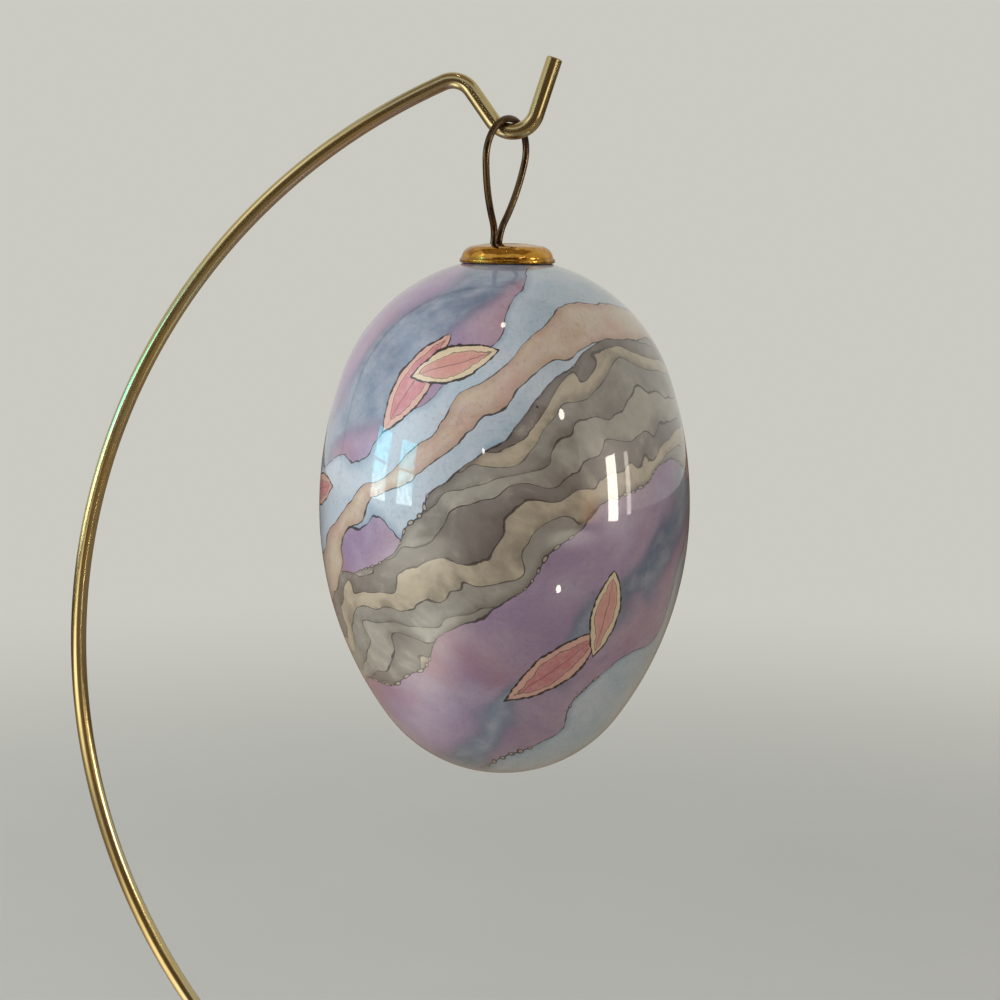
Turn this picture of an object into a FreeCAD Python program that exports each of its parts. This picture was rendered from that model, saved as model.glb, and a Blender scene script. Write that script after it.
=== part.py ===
import FreeCAD, Part
import math
import os

# Decorative egg that hangs by a wire loop from a bent wire stand.
# Millimetres, +Z up. The origin lies on the table, in the middle of the foot ring, straight below the loop.
# The stand's arc lies in the XZ plane, and its round side faces -X.
# The loop hangs from the hook at x = 0, a little up the slope from the valley's lowest point.

# Stand wire
wire_diameter = 2.6
arc_radius = 102.6
landing_offset = 30.2
heel_radius = 8.0
ring_end_gap = 0.6

# Hook
crest_radius = 3.7
slope_angle = 53.9
slope_length = 5.8
valley_radius = 3.9
hang_offset = 0.6
tip_angle = 72.0
tip_length = 9.0
end_bevel = 0.2

# Hanger loop
loop_wire_diameter = 1.1
loop_crown_radius = 5.5
loop_flank_radius = 26.0
loop_throat_radius = 6.0
loop_throat_gap = 0.35
loop_height = 19.1
loop_turn = 66.0
throat_offset = 1.8
splay_radius = 2.2
splay_angle = 56.0
splay_length = 4.2

# Egg shell
egg_radius = 29.52
egg_blunt_height = 39.65
egg_blunt_flank_radius = 65.0
egg_pointed_height = 42.95
egg_pointed_end_radius = 23.16
shell_wall = 2.2

# Cap
cap_radius = 7.25
cap_side_height = 0.2
cap_dome_radius = 28.0
cap_shoulder_radius = 2.1
cap_sheet = 0.5
cap_bead_radius = 0.42
cap_bead_proud = 0.28

# Cement under the cap
cement_width = 1.9

# Clearances and travel
hook_clearance = 0.08
hole_clearance = 0.2
hang_clearance = 0.15
seat_clearance = 0.04
swing_limit = 30.0

# Number of halvings in a search for a seat, and of positions in the swing that it looks at
seat_steps = 24
swing_positions = 5

wire_radius = wire_diameter / 2
loop_wire_radius = loop_wire_diameter / 2
throat_half_width = loop_wire_radius + loop_throat_gap / 2

origin = FreeCAD.Vector(0, 0, 0)
x_axis = FreeCAD.Vector(1, 0, 0)
y_axis = FreeCAD.Vector(0, 1, 0)
z_axis = FreeCAD.Vector(0, 0, 1)


def upright(x, z):
    """A point of the XZ plane."""
    return FreeCAD.Vector(x, 0, z)


def direction(angle):
    """A unit vector of the XZ plane, at an angle in degrees from +X towards +Z."""
    return upright(math.cos(math.radians(angle)), math.sin(math.radians(angle)))


def arc_between(centre, radius, start_angle, end_angle):
    """An arc of the XZ plane, from one angle to another, either way round."""
    middle_angle = (start_angle + end_angle) / 2
    points = [centre + direction(angle) * radius for angle in (start_angle, middle_angle, end_angle)]
    return Part.Arc(*points).toShape()


def line_between(start, end):
    return Part.LineSegment(start, end).toShape()


def angle_of(vector):
    """The angle of an XZ vector in degrees."""
    return math.degrees(math.atan2(vector.z, vector.x))


# Places on the stand. The landing is where the arc meets the table and the heel bend begins.
arc_centre = upright(landing_offset, arc_radius + wire_radius)
landing = upright(landing_offset, wire_radius)
slope_down = direction(-slope_angle)
slope_normal = direction(90 - slope_angle)
crest_x = hang_offset - (valley_radius + crest_radius) * slope_normal.x - slope_length * slope_down.x
crest_rise = math.sqrt((arc_radius - crest_radius) ** 2 - (crest_x - arc_centre.x) ** 2)
crest_centre = upright(crest_x, arc_centre.z + crest_rise)
slope_top = crest_centre + slope_normal * crest_radius
slope_foot = slope_top + slope_down * slope_length
valley_centre = slope_foot + slope_normal * valley_radius
hang_depth = math.sqrt(valley_radius ** 2 - hang_offset ** 2)
hang_point = valley_centre - x_axis * hang_offset - z_axis * hang_depth
tip_foot = valley_centre + direction(tip_angle - 90) * valley_radius
tip = tip_foot + direction(tip_angle) * tip_length


def hook_edges():
    """Centreline of the tip, the hook's valley, its slope and the crest, as far as the big arc."""
    crest_end_angle = angle_of(crest_centre - arc_centre)
    return [
        line_between(tip, tip_foot),
        arc_between(valley_centre, valley_radius, tip_angle - 90, -90 - slope_angle),
        line_between(slope_foot, slope_top),
        arc_between(crest_centre, crest_radius, 90 - slope_angle, crest_end_angle),
    ]


def big_arc_edge():
    """Centreline from the crest, round the open side of the stand and down to the table."""
    crest_end_angle = angle_of(crest_centre - arc_centre)
    return arc_between(arc_centre, arc_radius, crest_end_angle, 270)


def foot_edges():
    """Centreline of the heel bend and the flat ring, whose end stops short of the heel."""
    heel_centre = FreeCAD.Vector(landing_offset, heel_radius, wire_radius)
    heel_reach = math.hypot(landing_offset, heel_radius)
    ring_radius = heel_reach + heel_radius
    join_angle = math.atan2(heel_radius, landing_offset)
    end_reach = heel_radius + wire_diameter + ring_end_gap
    end_cosine = (ring_radius ** 2 + heel_reach ** 2 - end_reach ** 2) / (2 * ring_radius * heel_reach)
    end_angle = join_angle - math.acos(end_cosine)

    def heel_point(angle):
        return heel_centre + FreeCAD.Vector(math.cos(angle), math.sin(angle), 0) * heel_radius

    def ring_point(angle):
        return FreeCAD.Vector(math.cos(angle), math.sin(angle), 0) * ring_radius + z_axis * wire_radius

    heel_middle = (join_angle - math.pi / 2) / 2
    edges = [Part.Arc(landing, heel_point(heel_middle), heel_point(join_angle)).toShape()]
    ring_turn = 2 * math.pi + end_angle - join_angle
    ring_arcs = 3
    for number in range(ring_arcs):
        start = join_angle + ring_turn * number / ring_arcs
        end = join_angle + ring_turn * (number + 1) / ring_arcs
        edges.append(Part.Arc(ring_point(start), ring_point((start + end) / 2), ring_point(end)).toShape())
    return edges


def bent_wire(edges, diameter):
    """A round wire along a centreline of straight runs and tangent arcs."""
    path = Part.Wire(edges)
    start = path.OrderedVertexes[0].Point
    first_edge = path.OrderedEdges[0]
    along = first_edge.tangentAt(first_edge.FirstParameter)
    section = Part.Wire([Part.Circle(start, along, diameter / 2).toShape()])
    return path.makePipeShell([section], True, False)


def bevel_ends(wire_solid, bevel):
    """Takes the burr off both cut ends of a wire."""
    flat_faces = [face for face in wire_solid.Faces if isinstance(face.Surface, Part.Plane)]
    rims = [edge for face in flat_faces for edge in face.Edges]
    return wire_solid.makeChamfer(bevel, rims)


def stand_wire():
    edges = hook_edges() + [big_arc_edge()] + foot_edges()
    return bevel_ends(bent_wire(edges, wire_diameter), end_bevel)


def meeting_centre(centre_a, reach_a, centre_b, reach_b):
    """The XZ point on the -X side that lies reach_a from one centre and reach_b from the other."""
    between = centre_b - centre_a
    distance = between.Length
    along = (reach_a ** 2 - reach_b ** 2 + distance ** 2) / (2 * distance)
    aside = math.sqrt(reach_a ** 2 - along ** 2)
    unit = between * (1 / distance)
    sideways = upright(unit.z, -unit.x)
    if sideways.x > 0:
        sideways = -sideways
    return centre_a + unit * along + sideways * aside


def side_edges(crown):
    """Centreline of the +X side of the loop, from the top of its crown to its throat."""
    crown_centre = crown - z_axis * loop_crown_radius
    throat_centre = throat_below(crown) + x_axis * loop_throat_radius
    flank_centre = meeting_centre(
        crown_centre, loop_flank_radius - loop_crown_radius,
        throat_centre, loop_flank_radius + loop_throat_radius)
    crown_end_angle = angle_of(crown_centre - flank_centre)
    flank_end_angle = angle_of(throat_centre - flank_centre)
    return [
        arc_between(crown_centre, loop_crown_radius, 90, crown_end_angle),
        arc_between(flank_centre, loop_flank_radius, crown_end_angle, flank_end_angle),
        arc_between(throat_centre, loop_throat_radius, 180 + flank_end_angle, 180),
    ]


def throat_below(crown):
    """The point where the +X leg hangs straight down beside the other."""
    return crown - z_axis * loop_height + x_axis * throat_half_width


def leg_edges(crown, leg_length):
    """Centreline of the +X leg, from the throat down into the egg and out under its crown."""
    throat = throat_below(crown)
    splay_start = throat - z_axis * leg_length
    splay_centre = splay_start + x_axis * splay_radius
    splay_end = splay_centre + direction(180 + splay_angle) * splay_radius
    leg_end = splay_end + direction(splay_angle - 90) * splay_length
    return [
        line_between(throat, splay_start),
        arc_between(splay_centre, splay_radius, 180, 180 + splay_angle),
        line_between(splay_end, leg_end),
    ]


def place_loop(shape, crown_rise):
    """Turns the flat loop about the vertical and tips it, so that the throat stands left of the hook."""
    tip_over = math.degrees(math.asin(throat_offset / (loop_height - crown_rise)))
    shape.rotate(hang_point, z_axis, loop_turn)
    shape.rotate(hang_point, y_axis, tip_over)
    return shape


def both_sides(right_half, crown_rise):
    """Adds the mirror image of one half of the loop and puts both in their place."""
    left_half = [edge.mirror(origin, x_axis) for edge in reversed(right_half)]
    return [place_loop(edge, crown_rise) for edge in left_half + right_half]


def loop_edges(crown_rise, leg_length):
    """Centreline of the whole loop in its place, from leg end to leg end."""
    crown = hang_point + z_axis * crown_rise
    return both_sides(side_edges(crown) + leg_edges(crown, leg_length), crown_rise)


def settle(clear_at, low, high):
    """The value nearest to low for which clear_at is still true, where it is true at high."""
    for _ in range(seat_steps):
        middle = (low + high) / 2
        if clear_at(middle):
            high = middle
        else:
            low = middle
    return high


def least_distance(edges_a, edges_b):
    return Part.Compound(edges_a).distToShape(Part.Compound(edges_b))[0]


def crown_is_clear(crown_rise):
    """True where the loop's crown stays clear of the hook over the whole swing."""
    hook = hook_edges()
    wanted = wire_radius + loop_wire_radius + hook_clearance
    for position in range(swing_positions):
        angle = swing_limit * (2 * position / (swing_positions - 1) - 1)
        loop = both_sides(side_edges(hang_point + z_axis * crown_rise), crown_rise)
        for edge in loop:
            edge.rotate(hang_point, x_axis, angle)
        if least_distance(loop, hook) < wanted:
            return False
    return True


def end_radius_beside(flank_radius, height):
    """The radius of the end arc that meets a flank arc of the egg's outline in a common tangent."""
    return (2 * flank_radius * egg_radius - egg_radius ** 2 - height ** 2) / (2 * (flank_radius - height))


# The loop hangs as low on the hook as it can.
lowest_rise = wire_radius + loop_wire_radius
crown_rise = settle(crown_is_clear, lowest_rise, lowest_rise + wire_radius)
throat_height = hang_point.z + crown_rise - loop_height

# The cap's top lies at the loop's throat, and the egg follows from the cap's seat on its crown.
cap_top = throat_height
cap_shoulder_x = cap_radius - cap_shoulder_radius
cap_shoulder_rise = math.sqrt((cap_dome_radius - cap_shoulder_radius) ** 2 - cap_shoulder_x ** 2)
cap_height = cap_dome_radius - cap_shoulder_rise + cap_side_height + cap_bead_radius
cap_rim = cap_top - cap_height
egg_blunt_end_radius = end_radius_beside(egg_blunt_flank_radius, egg_blunt_height)
bead_middle_radius = cap_radius + cap_bead_proud - cap_bead_radius
crown_rise_over_bead = math.sqrt(
    (egg_blunt_end_radius + cap_bead_radius + seat_clearance) ** 2 - bead_middle_radius ** 2)
egg_crown_centre = cap_rim + cap_bead_radius - crown_rise_over_bead
egg_top = egg_crown_centre + egg_blunt_end_radius
egg_middle = egg_top - egg_blunt_height

# Both holes let the pair of legs turn inside them, and the lower one allows for their slant.
leg_drift = throat_offset * (cap_height + shell_wall) / (loop_height - crown_rise)
cap_hole_radius = throat_offset + throat_half_width + loop_wire_radius + hole_clearance
shell_hole_radius = cap_hole_radius + leg_drift


def quarter_egg(inset, height, end_radius, way):
    """One end of an egg's outline: an end arc and a flank arc that meet in a common tangent.

    The outline lies inside the egg's outer surface by inset, and way is 1 for the upper end, -1 for the lower.
    """
    flank_radius = (egg_radius ** 2 + (height - end_radius) ** 2 - end_radius ** 2) / (
        2 * (egg_radius - end_radius))
    flank_centre = upright(egg_radius - flank_radius, egg_middle)
    end_centre = upright(0, egg_middle + way * (height - end_radius))
    meeting_angle = angle_of(end_centre - flank_centre)
    end_arc = arc_between(end_centre, end_radius - inset, way * 90, meeting_angle)
    flank_arc = arc_between(flank_centre, flank_radius - inset, meeting_angle, 0)
    return [end_arc, flank_arc]


def egg_solid(inset):
    """A solid egg whose surface lies inside the outer surface by inset."""
    blunt = quarter_egg(inset, egg_blunt_height, egg_blunt_end_radius, 1)
    pointed = quarter_egg(inset, egg_pointed_height, egg_pointed_end_radius, -1)
    top = upright(0, egg_top - inset)
    bottom = upright(0, egg_middle - egg_pointed_height + inset)
    outline = Part.Wire(blunt + list(reversed(pointed)) + [line_between(bottom, top)])
    return Part.Face(outline).revolve(origin, z_axis, 360)


def egg_shell():
    hole = Part.makeCylinder(shell_hole_radius, egg_blunt_height + shell_wall, upright(0, egg_middle))
    return egg_solid(0).cut(egg_solid(shell_wall)).cut(hole)


def dome_solid(inset):
    """The space under the cap's surface, down to the rim, with its surface set in by inset."""
    side = cap_radius - inset
    dome_centre = upright(0, cap_top - cap_dome_radius)
    shoulder_centre = upright(cap_shoulder_x, dome_centre.z + cap_shoulder_rise)
    meeting_angle = angle_of(shoulder_centre - dome_centre)
    rim_height = cap_rim + cap_bead_radius
    outline = [
        arc_between(dome_centre, cap_dome_radius - inset, 90, meeting_angle),
        arc_between(shoulder_centre, cap_shoulder_radius - inset, meeting_angle, 0),
        line_between(upright(side, shoulder_centre.z), upright(side, rim_height)),
        line_between(upright(side, rim_height), upright(0, rim_height)),
        line_between(upright(0, rim_height), upright(0, cap_top - inset)),
    ]
    return Part.Face(Part.Wire(outline)).revolve(origin, z_axis, 360)


def rim_bead(growth):
    middle = upright(0, cap_rim + cap_bead_radius)
    return Part.makeTorus(bead_middle_radius, cap_bead_radius + growth, middle)


def egg_cap():
    """The pressed dome with its rolled rim and the hole for the legs."""
    hole = Part.makeCylinder(cap_hole_radius, cap_height + cap_sheet, upright(0, cap_rim))
    dome = dome_solid(0).cut(dome_solid(cap_sheet))
    return dome.fuse(rim_bead(0)).cut(hole).removeSplitter()


def cap_cement():
    """The ring of cement between the cap's hollow side and the crown of the egg."""
    outer_radius = bead_middle_radius - cap_bead_radius - seat_clearance
    base = upright(0, cap_rim)
    ring = Part.makeCylinder(outer_radius, cap_height, base)
    ring = ring.cut(Part.makeCylinder(outer_radius - cement_width, cap_height, base))
    lower_hollow = Part.makeCylinder(cap_radius - cap_sheet - seat_clearance, cap_bead_radius, base)
    hollow = dome_solid(cap_sheet + seat_clearance).fuse(lower_hollow)
    return ring.common(hollow).cut(egg_solid(-seat_clearance))


def leg_is_clear(leg_length):
    """True where both legs pass the inner edge of the shell's hole with room to spare."""
    edge_height = egg_crown_centre + math.sqrt(
        (egg_blunt_end_radius - shell_wall) ** 2 - shell_hole_radius ** 2)
    hole_edge = Part.Circle(upright(0, edge_height), z_axis, shell_hole_radius).toShape()
    legs = loop_edges(crown_rise, leg_length)
    return least_distance(legs, [hole_edge]) >= loop_wire_radius + hang_clearance


# The legs are as short as they can be, so the egg hangs close over their shoulders.
longest_leg = cap_height + shell_wall + splay_radius
leg_length = settle(leg_is_clear, cap_sheet, longest_leg)


def hanger_loop():
    wire_solid = bent_wire(loop_edges(crown_rise, leg_length), loop_wire_diameter)
    return bevel_ends(wire_solid, end_bevel)


def save(name, shape):
    solids = shape.Solids
    if len(solids) != 1 or not shape.isValid():
        raise ValueError(name + " is not one valid solid")
    solids[0].exportStep("parts/" + name + ".step")
    print(name, "volume", round(solids[0].Volume, 1))


os.makedirs("parts", exist_ok=True)
save("stand_wire", stand_wire())
save("hanger_loop", hanger_loop())
save("egg_cap", egg_cap())
save("cap_cement", cap_cement())
save("egg_shell", egg_shell())
print("hook pivot", round(hang_point.z, 6), "crown rise", round(crown_rise, 3), "leg length", round(leg_length, 3))
print("cap top", round(cap_top, 3), "egg middle", round(egg_middle, 3), "tip", round(tip.x, 4), round(tip.z, 4))
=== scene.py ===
import math

import bpy
from mathutils import Matrix, Vector


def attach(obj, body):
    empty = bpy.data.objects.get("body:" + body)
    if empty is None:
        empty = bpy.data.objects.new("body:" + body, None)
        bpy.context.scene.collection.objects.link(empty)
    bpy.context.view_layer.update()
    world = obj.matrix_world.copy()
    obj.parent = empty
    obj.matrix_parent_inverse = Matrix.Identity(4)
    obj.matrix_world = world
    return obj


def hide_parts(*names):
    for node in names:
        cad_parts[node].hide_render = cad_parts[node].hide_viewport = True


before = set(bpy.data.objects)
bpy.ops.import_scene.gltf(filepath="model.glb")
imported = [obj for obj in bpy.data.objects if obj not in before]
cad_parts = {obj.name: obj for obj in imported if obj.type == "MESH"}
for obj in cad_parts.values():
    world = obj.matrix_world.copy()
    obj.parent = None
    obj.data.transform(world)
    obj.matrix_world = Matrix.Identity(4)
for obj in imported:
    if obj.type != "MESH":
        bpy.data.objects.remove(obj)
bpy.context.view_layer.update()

# Looks of a decorative egg that hangs by a wire loop from a bent wire stand.
# Sizes are named in millimetres, as on the part, and a mesh is scaled to metres as it is made.
METRE = 0.001

# Stand wire. The drawn tube is thinner than the wire by a hair, so that it stays inside the wire's box.
drawn_thinner = 0.03
wire_radius = 1.3
arc_radius = 102.6
landing_offset = 30.2
heel_radius = 8.0
ring_end_gap = 0.6
crest_radius = 3.7
slope_angle = 53.9
slope_length = 5.8
valley_radius = 3.9
hang_offset = 0.6
tip_angle = 72.0
tip_length = 9.0
end_bevel = 0.2

# Hanger loop. The crown's rise and the legs' length are those at which it settles on the hook.
loop_wire_radius = 0.55
loop_crown_radius = 5.5
loop_flank_radius = 26.0
loop_throat_radius = 6.0
loop_throat_gap = 0.35
loop_height = 19.1
loop_turn = 66.0
throat_offset = 1.8
splay_radius = 2.2
splay_angle = 56.0
splay_length = 4.2
crown_rise = 1.939
leg_length = 3.8

# Egg
egg_radius = 29.52
egg_blunt_height = 39.65
egg_blunt_flank_radius = 65.0
egg_pointed_height = 42.95
egg_pointed_end_radius = 23.16
shell_wall = 2.2

# Cap
cap_radius = 7.25
cap_side_height = 0.2
cap_dome_radius = 28.0
cap_shoulder_radius = 2.1
cap_sheet = 0.5
cap_bead_radius = 0.42
cap_bead_proud = 0.28
hole_clearance = 0.2
seat_clearance = 0.04
hole_edge_radius = 0.15

# Fineness of the meshes: the sides of round forms, and the turn in degrees from which an edge looks sharp
stand_sides = 40
loop_sides = 28
egg_sides = 224
cap_sides = 160
wire_sharp_angle = 35
turned_sharp_angle = 50

# Camera: it looks down a little, from slightly to the right. The egg's middle lies at egg_middle_pixel.
camera_azimuth = 10.0
camera_pitch = 8.3
camera_roll = 0.648
camera_distance = 320.0
focal_pixels = 2000.0
picture_pixels = 1000.0
egg_middle_pixel = (504.5, 507.0)


# Shapes

def upright(x, z):
    """A point of the XZ plane."""
    return Vector((x, 0, z))


def direction(angle):
    """A unit vector of the XZ plane, at an angle in degrees from +X towards +Z."""
    return upright(math.cos(math.radians(angle)), math.sin(math.radians(angle)))


def angle_of(vector):
    return math.degrees(math.atan2(vector.z, vector.x))


def arc(centre, radius, start, end, step):
    """Points of an arc of the XZ plane, both ends included, no more than step apart."""
    count = max(4, math.ceil(abs(math.radians(end - start)) * radius / step))
    angles = [start + (end - start) * number / count for number in range(count + 1)]
    return [centre + direction(angle) * radius for angle in angles]


def run(start, end, step):
    """Points of a straight run, both ends included."""
    count = max(1, math.ceil((end - start).length / step))
    return [start.lerp(end, number / count) for number in range(count + 1)]


def joined(*stretches):
    """One line of points from stretches that share their end points."""
    points = [stretches[0][0]]
    for stretch in stretches:
        points.extend(stretch[1:])
    return points


def mesh_object(name, vertices, faces, body, node):
    """A smooth mesh in metres. It rides on a body and hides the CAD node that it takes the place of."""
    mesh = bpy.data.meshes.new(name)
    mesh.from_pydata([tuple(vertex * METRE) for vertex in vertices], [], faces)
    mesh.validate()
    mesh.shade_smooth()
    made = bpy.data.objects.new(name, mesh)
    bpy.context.scene.collection.objects.link(made)
    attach(made, body)
    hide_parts(node)
    return made


def tube_rings(points, radius, bevel):
    """Centre, direction, radius and distance along the wire of each ring, with a bevel at both ends."""
    rings = []
    distance = 0.0
    last = len(points) - 1
    for number, point in enumerate(points):
        before = points[max(number - 1, 0)]
        after = points[min(number + 1, last)]
        if number:
            distance += (point - before).length
        rings.append((point, (after - before).normalized(), radius, distance))
    length = distance
    start, outward, _, _ = rings[0]
    end, onward, _, _ = rings[-1]
    first = [(start, outward, radius - bevel, 0.0), (start + outward * bevel, outward, radius, bevel)]
    final = [(end - onward * bevel, onward, radius, length - bevel), (end, onward, radius - bevel, length)]
    clear_of_end = 1.5 * bevel
    middle = [ring for ring in rings if clear_of_end < ring[3] < length - clear_of_end]
    return first + middle + final


def tube(name, points, radius, bevel, sides, body, node):
    """A round wire. The wire_place attribute holds where each point would be if the wire were straight."""
    rings = tube_rings(points, radius, bevel)
    vertices = []
    places = []
    across = rings[0][1].orthogonal().normalized()
    for centre, along, ring_radius, distance in rings:
        across = (across - along * across.dot(along)).normalized()
        beside = along.cross(across)
        for side in range(sides):
            turn = 2 * math.pi * side / sides
            vertices.append(centre + (across * math.cos(turn) + beside * math.sin(turn)) * ring_radius)
            places.append((math.cos(turn) * ring_radius, math.sin(turn) * ring_radius, distance))
    faces = []
    for ring in range(len(rings) - 1):
        low = ring * sides
        for side in range(sides):
            after = (side + 1) % sides
            faces.append((low + side, low + after, low + sides + after, low + sides + side))
    top = (len(rings) - 1) * sides
    faces.append(tuple(reversed(range(sides))))
    faces.append(tuple(range(top, top + sides)))
    made = mesh_object(name, vertices, faces, body, node)
    straight = made.data.attributes.new("wire_place", "FLOAT_VECTOR", "POINT")
    straight.data.foreach_set("vector", [value for place in places for value in place])
    made.data.set_sharp_from_angle(angle=math.radians(wire_sharp_angle))
    return made


def revolved(name, outline, sides, body, node):
    """A body of revolution about the Z axis. An outline that starts and ends on the axis closes there."""
    on_axis = outline[0].x == 0
    vertices = []
    rows = []
    for point in outline:
        if point.x == 0:
            rows.append([len(vertices)] * sides)
            vertices.append(point.copy())
            continue
        rows.append(list(range(len(vertices), len(vertices) + sides)))
        for side in range(sides):
            turn = 2 * math.pi * side / sides
            vertices.append(Vector((point.x * math.cos(turn), point.x * math.sin(turn), point.z)))
    pairs = list(zip(rows, rows[1:]))
    if not on_axis:
        pairs.append((rows[-1], rows[0]))
    faces = []
    for lower, upper in pairs:
        for side in range(sides):
            after = (side + 1) % sides
            corners = [lower[side], lower[after], upper[after], upper[side]]
            faces.append(tuple(dict.fromkeys(corners)))
    made = mesh_object(name, vertices, faces, body, node)
    made.data.set_sharp_from_angle(angle=math.radians(turned_sharp_angle))
    return made


# Places on the stand, as on the part
arc_centre = upright(landing_offset, arc_radius + wire_radius)
slope_down = direction(-slope_angle)
slope_normal = direction(90 - slope_angle)
crest_x = hang_offset - (valley_radius + crest_radius) * slope_normal.x - slope_length * slope_down.x
crest_rise = math.sqrt((arc_radius - crest_radius) ** 2 - (crest_x - arc_centre.x) ** 2)
crest_centre = upright(crest_x, arc_centre.z + crest_rise)
slope_top = crest_centre + slope_normal * crest_radius
slope_foot = slope_top + slope_down * slope_length
valley_centre = slope_foot + slope_normal * valley_radius
hang_point = valley_centre - upright(hang_offset, math.sqrt(valley_radius ** 2 - hang_offset ** 2))
tip_foot = valley_centre + direction(tip_angle - 90) * valley_radius
tip = tip_foot + direction(tip_angle) * tip_length

# Places on the cap and the egg
throat_half_width = loop_wire_radius + loop_throat_gap / 2
cap_top = hang_point.z + crown_rise - loop_height
cap_shoulder_x = cap_radius - cap_shoulder_radius
cap_shoulder_rise = math.sqrt((cap_dome_radius - cap_shoulder_radius) ** 2 - cap_shoulder_x ** 2)
cap_height = cap_dome_radius - cap_shoulder_rise + cap_side_height + cap_bead_radius
cap_rim = cap_top - cap_height
bead_centre = upright(cap_radius + cap_bead_proud - cap_bead_radius, cap_rim + cap_bead_radius)
cap_hole_radius = throat_offset + throat_half_width + loop_wire_radius + hole_clearance
leg_drift = throat_offset * (cap_height + shell_wall) / (loop_height - crown_rise)
shell_hole_radius = cap_hole_radius + leg_drift
egg_blunt_end_radius = (
    2 * egg_blunt_flank_radius * egg_radius - egg_radius ** 2 - egg_blunt_height ** 2
) / (2 * (egg_blunt_flank_radius - egg_blunt_height))
bead_reach = egg_blunt_end_radius + cap_bead_radius + seat_clearance
crown_over_bead = math.sqrt(bead_reach ** 2 - bead_centre.x ** 2)
egg_middle = bead_centre.z - crown_over_bead + egg_blunt_end_radius - egg_blunt_height


def stand_line():
    """Centreline of the whole stand, from the free tip to the end of the foot ring."""
    straight_step = 0.8
    valley_step = 0.2
    crest_step = 0.3
    arc_step = 0.9
    crest_end = angle_of(crest_centre - arc_centre)
    heel_reach = math.hypot(landing_offset, heel_radius)
    ring_radius = heel_reach + heel_radius
    join = math.atan2(heel_radius, landing_offset)
    end_reach = heel_radius + 2 * wire_radius + ring_end_gap
    end_cosine = (ring_radius ** 2 + heel_reach ** 2 - end_reach ** 2) / (2 * ring_radius * heel_reach)
    ring_turn = 2 * math.pi - math.acos(end_cosine)
    heel_centre = Vector((landing_offset, heel_radius, wire_radius))
    heel_steps = 20
    heel = []
    for number in range(heel_steps + 1):
        turn = -math.pi / 2 + (join + math.pi / 2) * number / heel_steps
        heel.append(heel_centre + Vector((math.cos(turn), math.sin(turn), 0)) * heel_radius)
    ring_steps = 260
    ring = []
    for number in range(ring_steps + 1):
        turn = join + ring_turn * number / ring_steps
        ring.append(Vector((math.cos(turn) * ring_radius, math.sin(turn) * ring_radius, wire_radius)))
    return joined(
        run(tip, tip_foot, straight_step),
        arc(valley_centre, valley_radius, tip_angle - 90, -90 - slope_angle, valley_step),
        run(slope_foot, slope_top, straight_step),
        arc(crest_centre, crest_radius, 90 - slope_angle, crest_end, crest_step),
        arc(arc_centre, arc_radius, crest_end, 270, arc_step),
        heel,
        ring,
    )


def meeting_centre(centre_a, reach_a, centre_b, reach_b):
    """The XZ point on the -X side that lies reach_a from one centre and reach_b from the other."""
    between = centre_b - centre_a
    along = (reach_a ** 2 - reach_b ** 2 + between.length_squared) / (2 * between.length)
    aside = math.sqrt(reach_a ** 2 - along ** 2)
    unit = between.normalized()
    sideways = upright(-abs(unit.z), unit.x * math.copysign(1, unit.z))
    return centre_a + unit * along + sideways * aside


def loop_line():
    """Centreline of the hanger loop, from leg end to leg end, in its place on the hook."""
    crown_step = 0.2
    flank_step = 0.3
    straight_step = 0.5
    splay_step = 0.15
    crown = hang_point + upright(0, crown_rise)
    crown_centre = crown - upright(0, loop_crown_radius)
    throat = crown - upright(-throat_half_width, loop_height)
    throat_centre = throat + upright(loop_throat_radius, 0)
    flank_centre = meeting_centre(
        crown_centre, loop_flank_radius - loop_crown_radius,
        throat_centre, loop_flank_radius + loop_throat_radius)
    crown_end = angle_of(crown_centre - flank_centre)
    flank_end = angle_of(throat_centre - flank_centre)
    splay_start = throat - upright(0, leg_length)
    splay_centre = splay_start + upright(splay_radius, 0)
    splay_end = splay_centre + direction(180 + splay_angle) * splay_radius
    leg_end = splay_end + direction(splay_angle - 90) * splay_length
    half = joined(
        arc(crown_centre, loop_crown_radius, 90, crown_end, crown_step),
        arc(flank_centre, loop_flank_radius, crown_end, flank_end, flank_step),
        arc(throat_centre, loop_throat_radius, 180 + flank_end, 180, flank_step),
        run(throat, splay_start, straight_step),
        arc(splay_centre, splay_radius, 180, 180 + splay_angle, splay_step),
        run(splay_end, leg_end, straight_step),
    )
    mirrored = [Vector((-point.x, point.y, point.z)) for point in reversed(half)]
    tip_over = math.asin(throat_offset / (loop_height - crown_rise))
    placed = Matrix.Rotation(tip_over, 3, "Y") @ Matrix.Rotation(math.radians(loop_turn), 3, "Z")
    return [hang_point + placed @ (point - hang_point) for point in joined(mirrored, half)]


def egg_side(inset, height, end_radius, way):
    """One end of the egg's outline, from pole to girth, set in by inset. way is 1 for up, -1 for down."""
    step = 0.7
    flank_radius = (egg_radius ** 2 + (height - end_radius) ** 2 - end_radius ** 2) / (
        2 * (egg_radius - end_radius))
    flank_centre = upright(egg_radius - flank_radius, egg_middle)
    end_centre = upright(0, egg_middle + way * (height - end_radius))
    meeting = angle_of(end_centre - flank_centre)
    points = joined(
        arc(end_centre, end_radius - inset, way * 90, meeting, step),
        arc(flank_centre, flank_radius - inset, meeting, 0, step),
    )
    points[0].x = 0
    return points


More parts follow.
